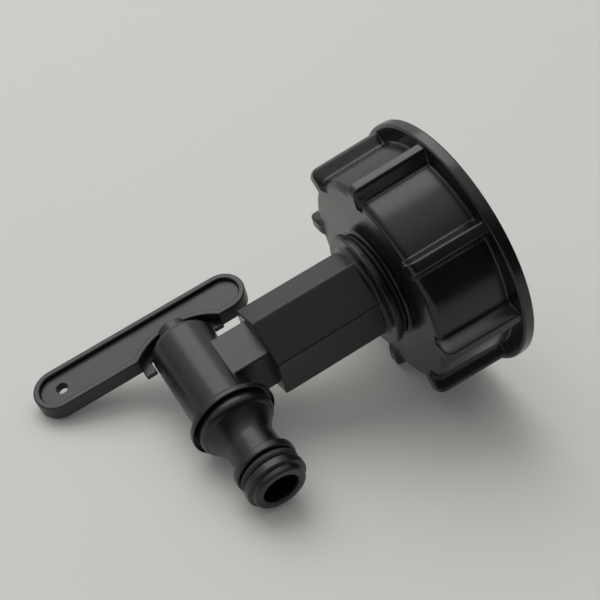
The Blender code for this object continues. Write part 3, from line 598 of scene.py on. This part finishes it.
insert += run((NOZZLE_NECK, 25.0), (NOZZLE_NECK, 29.4), 4) + bow(NOZZLE_NECK + 0.7, 29.7, 0.7, 180, 110, 4)
insert += bow(NOZZLE_COLLAR - 0.55, 31.15, 0.55, 270, 360, 5)
insert += bow(NOZZLE_COLLAR - 0.55, GROOVE_START - 0.55, 0.55, 0, 90, 5)
insert += [(NOZZLE_GROOVE + 0.3, GROOVE_START), (NOZZLE_GROOVE, GROOVE_START + 0.2)]
insert += [(NOZZLE_GROOVE, GROOVE_END - 0.2), (NOZZLE_GROOVE + 0.3, GROOVE_END)]
insert += bow(NOZZLE_COLLAR - 0.7, GROOVE_END + 0.5, 0.5, 270, 360, 5)
insert += bow(NOZZLE_COLLAR - 0.75, 38.05, 0.55, 0, 80, 5) + [(7.9, 38.62), (7.72, 38.8)]
insert += bow(6.9, NOZZLE_TIP - 0.7, 0.7, 10, 90, 6) + bow(5.6, NOZZLE_TIP - 0.5, 0.5, 90, 180, 5)
nozzle = piece("hose_insert", skinned(turned(insert, 160), True), nozzle_finish, ON_BARREL)
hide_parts("nozzle")
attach(nozzle, "adapter")


# Valve plug
# A smooth black plug turns in the barrel with the lever. It has an L shaped
# way through it, two ring grooves, and a square stem for the lever.
PLUG = 7.0
PLUG_BACK = -13.0
PLUG_FRONT = 8.2
PLUG_GROOVE = 5.7
PLUG_WAY = 4.6
PLUG_SHANK = 3.3
STEM_HALF = 2.1
plug_finish = moulded_plastic("plug_black", (0.012, 0.012, 0.0125), 0.28, edge=0.25, dust=0.1)
plug = [(PLUG_SHANK, -17.1), (PLUG_SHANK, PLUG_BACK)] + bow(PLUG - 0.3, PLUG_BACK + 0.3, 0.3, -90, 0, 4)
for groove in (-9.4, 6.5):
    plug += [(PLUG, groove - 0.9), (PLUG_GROOVE, groove - 0.9), (PLUG_GROOVE, groove + 0.9), (PLUG, groove + 0.9)]
plug += bow(PLUG - 0.3, PLUG_FRONT - 0.3, 0.3, 0, 90, 4)
stem_heights = ((-22.4, 0.3), (-22.1, 0.0), (-16.0, 0.0))
stem_rings = boxed(-STEM_HALF, STEM_HALF, -STEM_HALF, STEM_HALF, 0.3, stem_heights)
plug_form = joined(solid("plug", turned_solid(plug), upright), (
    ("UNION", solid("stem", skinned(stem_rings, False), upright)),
    ("DIFFERENCE", solid("way_out", turned_solid([(PLUG_WAY, -5.2), (PLUG_WAY, 9.0)], 72), upright)),
    ("DIFFERENCE", solid("way_up", turned_solid([(PLUG_WAY, AXIS_HEIGHT - 8.0), (PLUG_WAY, AXIS_HEIGHT)], 72))),
))
plug_piece = piece("turning_plug", plug_form, plug_finish)
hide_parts("valve_plug")
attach(plug_piece, "lever_and_plug")


# Lever
# A black moulded blade on edge across the barrel's back end. Its faces are
# sunk inside a rim, it arches over the barrel with a thin web behind the arch,
# and two tabs limit its turn. A square socket in its hub takes the plug's stem.
LEVER_BACK = -31.1
LEVER_FRONT = -17.3
LEVER_LOW = 57.8
LEVER_HIGH = 126.5
LEVER_HALF = 2.8
LEVER_RIM = 1.8
LEVER_SUNK = 1.4
ARCH_RISE = 5.3
ARCH_SPAN = 27.0
HUB = 4.9
HUB_FRONT = -17.1
SOCKET_HALF = 2.4
TAB_LOW = -2.4
TAB_HIGH = -0.8
TAB_END = 13.5
WEB_BACK = -22.4
WEB_FRONT = -18.3
WEB_HALF = 13.2
EYE = 1.8
EYE_HEIGHT = 118.3
LEVER_BLACK = (0.006, 0.0065, 0.0065)
lever_finish = moulded_plastic("lever_black", LEVER_BLACK, 0.34)


def blade_outline(inset):
    """The blade's side view as (x, z) points, drawn in by inset all round."""
    half = 0.5 * (LEVER_FRONT - LEVER_BACK)
    middle = 0.5 * (LEVER_FRONT + LEVER_BACK)
    arch_radius = ((0.5 * ARCH_SPAN) ** 2 + ARCH_RISE**2) / (2.0 * ARCH_RISE)
    arch_centre = LEVER_FRONT - ARCH_RISE + arch_radius
    reach = arch_radius + inset
    front = LEVER_FRONT - inset
    spread = math.degrees(math.acos((arch_centre - front) / reach))
    points = [(x, z) for z, x in bow(LEVER_LOW + half, middle, half - inset, 270, 90, 32)]
    arch = [(x, z) for z, x in bow(AXIS_HEIGHT, arch_centre, reach, 270 - spread, 270 + spread, 32)]
    points += [(front, z) for x, z in run((0, LEVER_LOW + half + 0.5), (0, arch[0][1]), 4)][1:] + arch
    far = LEVER_HIGH - half
    points += [(front, z) for x, z in run((0, arch[-1][1]), (0, far), 8)][1:]
    points += [(x, z) for z, x in bow(far, middle, half - inset, 90, -90, 32)]
    points += [(LEVER_BACK + inset, z) for x, z in run((0, far), (0, LEVER_LOW + half), 12)][1:]
    return points


def blade_form():
    """The blade as nested rings from the sunk web of one face round to the other."""
    round_off = 0.45
    web = LEVER_HALF - LEVER_SUNK
    steps = [(LEVER_RIM + 0.55, web), (LEVER_RIM + 0.3, web + 0.06)]
    steps += [(LEVER_RIM + 0.22, web + 0.3), (LEVER_RIM + 0.05, LEVER_HALF - 0.4)]
    steps += [(LEVER_RIM - 0.1, LEVER_HALF - 0.12), (LEVER_RIM - 0.35, LEVER_HALF)]
    for number in range(6):
        angle = math.radians(90 - 18 * number)
        steps.append((round_off * (1 - math.cos(angle)), LEVER_HALF - round_off * (1 - math.sin(angle))))
    both = steps + [(inset, -aside) for inset, aside in reversed(steps)]
    rings = [[(x, -aside, z) for x, z in blade_outline(inset)] for inset, aside in both]
    return skinned(rings, False)


def tab_rings(low, high, hang):
    """A stop tab that hangs from the blade's front edge beside the barrel."""
    front = LEVER_FRONT + hang
    heights = ((LEVER_FRONT - 2.2, 0.0), (front - 0.3, 0.0), (front - 0.08, 0.09), (front, 0.3))
    rings = boxed(low, high, TAB_LOW, TAB_HIGH, 0.35, heights)
    return [[(x, y, z) for z, y, x in ring] for ring in rings]


hub = [(HUB, LEVER_FRONT - 5.6), (HUB, HUB_FRONT - 0.2), (HUB - 0.2, HUB_FRONT)]
eye_spot = Vector((0.5 * (LEVER_FRONT + LEVER_BACK), 0.0, EYE_HEIGHT))
eye_place = Matrix.Translation(eye_spot) @ Matrix.Rotation(math.radians(90.0), 4, "X")
hole = [(EYE + 0.5, -4.0), (EYE + 0.5, -1.9), (EYE, -1.4), (EYE, 1.4), (EYE + 0.5, 1.9), (EYE + 0.5, 4.0)]
web_heights = ((AXIS_HEIGHT - WEB_HALF, 0.0), (AXIS_HEIGHT + WEB_HALF, 0.0))
socket_heights = ((-22.7, 0.0), (-16.0, 0.0))
lever_form = joined(solid("blade", blade_form()), (
    ("UNION", solid("hub", turned_solid(hub, 96), upright)),
    ("UNION", solid("long_tab", skinned(tab_rings(AXIS_HEIGHT + 10.1, AXIS_HEIGHT + TAB_END, 3.6), False))),
    ("UNION", solid("short_tab", skinned(tab_rings(AXIS_HEIGHT - TAB_END, AXIS_HEIGHT - 10.3, 1.2), False))),
    ("UNION", solid("arch_web", skinned(boxed(WEB_BACK, WEB_FRONT, -2.5, -1.0, 0.2, web_heights), False))),
    ("DIFFERENCE", solid("socket", skinned(
        boxed(-SOCKET_HALF, SOCKET_HALF, -SOCKET_HALF, SOCKET_HALF, 0.2, socket_heights), False
    ), upright)),
    ("DIFFERENCE", solid("eye", turned_solid(hole, 64), eye_place)),
))
lever = piece("lever_blade", lever_form, lever_finish)
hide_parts("lever")
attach(lever, "lever_and_plug")


# Table
# The adapter lies on its side on a pale table, on the cap, the barrel's lip and
# the lever's end. The table is seen only from above.
DOWN = Vector((0.137, -0.928, 0.347))
TABLE_REACH = 3.0
TABLE_PALE = (0.62, 0.60, 0.575, 1.0)
TABLE_DULL = (0.59, 0.573, 0.548, 1.0)
TABLE_PAINTED_GLOW = 0.055
contacts = []
for name in ("threaded_cap", "tap_body", "lever"):
    corners = [vert.co for vert in bpy.data.objects[name].data.vertices]
    contacts.append(max(corners, key=DOWN.dot).copy())
table_up = (contacts[1] - contacts[0]).cross(contacts[2] - contacts[0]).normalized()
if table_up.dot(DOWN) > 0:
    table_up = -table_up
table_middle = contacts[0] - 0.0002 * table_up


def pale_table():
    """A pale surface with a faint painted glow, standing in for the room's bounce light in its shadows; it is seen
    and mirrored from above, and clear from below.
    """
    material = bpy.data.materials.new("pale_table")
    material.use_nodes = True
    tree = material.node_tree
    Wire.tree = tree
    surface = tree.nodes["Principled BSDF"]
    place = Wire.node("ShaderNodeTexCoord", out="Object")
    cloudy = Wire.node("ShaderNodeTexNoise", Vector=place, Scale=3.0)
    Wire.node(
        "ShaderNodeMix", {"data_type": "RGBA"}, out=2, i0=cloudy, i6=TABLE_PALE, i7=TABLE_DULL
    ).into(surface, "Base Color")
    # Painted light: the table glows faintly, standing in for the room's bounce light that lifts its shadows.
    surface.inputs["Emission Color"].default_value = (1.0, 1.0, 0.97, 1.0)
    surface.inputs["Emission Strength"].default_value = TABLE_PAINTED_GLOW
    surface.inputs["Roughness"].default_value = 0.9
    surface.inputs["Specular IOR Level"].default_value = 0.1
    seen = Wire.node("ShaderNodeLightPath", out="Is Camera Ray")
    behind = Wire.node("ShaderNodeNewGeometry", out="Backfacing")
    clear = Wire.node("ShaderNodeBsdfTransparent")
    mirrored = Wire.node("ShaderNodeLightPath", out="Is Glossy Ray")
    solid_share = (seen + mirrored) * (1 - behind)
    mixed = Wire.node("ShaderNodeMixShader", i0=solid_share, i1=clear, i2=Wire(surface.outputs[0]))
    mixed.into(tree.nodes["Material Output"], "Surface")
    return material


sheet = bpy.data.meshes.new("table")
across = table_up.orthogonal().normalized()
along = table_up.cross(across)
corners = [
    table_middle + TABLE_REACH * (x * across + y * along) for x, y in ((-1, -1), (1, -1), (1, 1), (-1, 1))
]
sheet.from_pydata(corners, [], [(0, 1, 2, 3)])
sheet.materials.append(pale_table())
table = bpy.data.objects.new("table", sheet)
bpy.context.scene.collection.objects.link(table)
if sheet.polygons[0].normal.dot(table_up) < 0:
    sheet.flip_normals()


# Camera
# It looks down on the adapter from the nozzle's side, turned so that the
# table's upright stands upright in the picture.
CAMERA_PLACE = Vector((176.2, 248.6, 109.8)) * MM
CAMERA_RIGHT = Vector((0.5128, -0.1697, -0.8415))
CAMERA_BACK = Vector((0.5852, 0.7863, 0.1981))
CAMERA_LENS = 65.13
lens = bpy.data.cameras.new("eye")
lens.sensor_width = 36.0
lens.lens = CAMERA_LENS
lens.clip_start = 0.01
camera = bpy.data.objects.new("eye", lens)
bpy.context.scene.collection.objects.link(camera)
back = CAMERA_BACK.normalized()
right = (CAMERA_RIGHT - CAMERA_RIGHT.dot(back) * back).normalized()
turn = Matrix((right, back.cross(right), back)).transposed().to_4x4()
camera.matrix_world = Matrix.Translation(CAMERA_PLACE) @ turn
bpy.context.scene.camera = camera


# Lamps
# One wide soft lamp hangs over the table on the lever's side. The room is bright
# round the lamp and below the table, and dark on the nozzle's side.
LAMP_WAY = Vector((-0.62, 0.76, -0.2)).normalized()
LAMP_REACH = 1.6
LAMP_WIDTH = 1.35
LAMP_WATTS = 10.0
ROOM_TINT = (0.94, 1.0, 0.98, 1.0)
BACKDROP = (0.57, 0.575, 0.56, 1.0)
panel = bpy.data.lights.new("over_table", "AREA")
panel.shape = "SQUARE"
panel.size = LAMP_WIDTH
panel.energy = LAMP_WATTS
lamp = bpy.data.objects.new("over_table", panel)
bpy.context.scene.collection.objects.link(lamp)
lamp.location = Vector((0.0, 0.0, 0.06)) + LAMP_REACH * LAMP_WAY
lamp.rotation_euler = LAMP_WAY.to_track_quat("Z", "Y").to_euler()
world = bpy.data.worlds.new("room")
world.use_nodes = True
bpy.context.scene.world = world
Wire.tree = world.node_tree
for old in list(world.node_tree.nodes):
    world.node_tree.nodes.remove(old)
seen = Wire.node("ShaderNodeLightPath", out="Is Camera Ray")
backdrop = Wire.node("ShaderNodeBackground", Color=BACKDROP, Strength=1.0)
way = Wire.node("ShaderNodeTexCoord", out="Generated")
soft_step = {"interpolation_type": "SMOOTHSTEP"}
to_lamp = Wire.node("ShaderNodeVectorMath", {"operation": "DOT_PRODUCT"}, out="Value", i0=way, i1=LAMP_WAY)
to_floor = Wire.node("ShaderNodeVectorMath", {"operation": "DOT_PRODUCT"}, out="Value", i0=way, i1=-table_up)
near_lamp = Wire.node("ShaderNodeMapRange", soft_step, Value=to_lamp, i1=0.05, i2=1.0, i3=0.05, i4=1.0)
below = Wire.node("ShaderNodeMapRange", soft_step, Value=to_floor, i1=0.0, i2=0.7, i3=0.0, i4=0.6)
dim = Wire.node("ShaderNodeBackground", Color=ROOM_TINT, Strength=near_lamp + below)
room = Wire.node("ShaderNodeMixShader", i0=seen, i1=dim, i2=backdrop)
shown = world.node_tree.nodes.new("ShaderNodeOutputWorld")
room.into(shown, "Surface")

bpy.context.scene.view_settings.view_transform = "Standard"
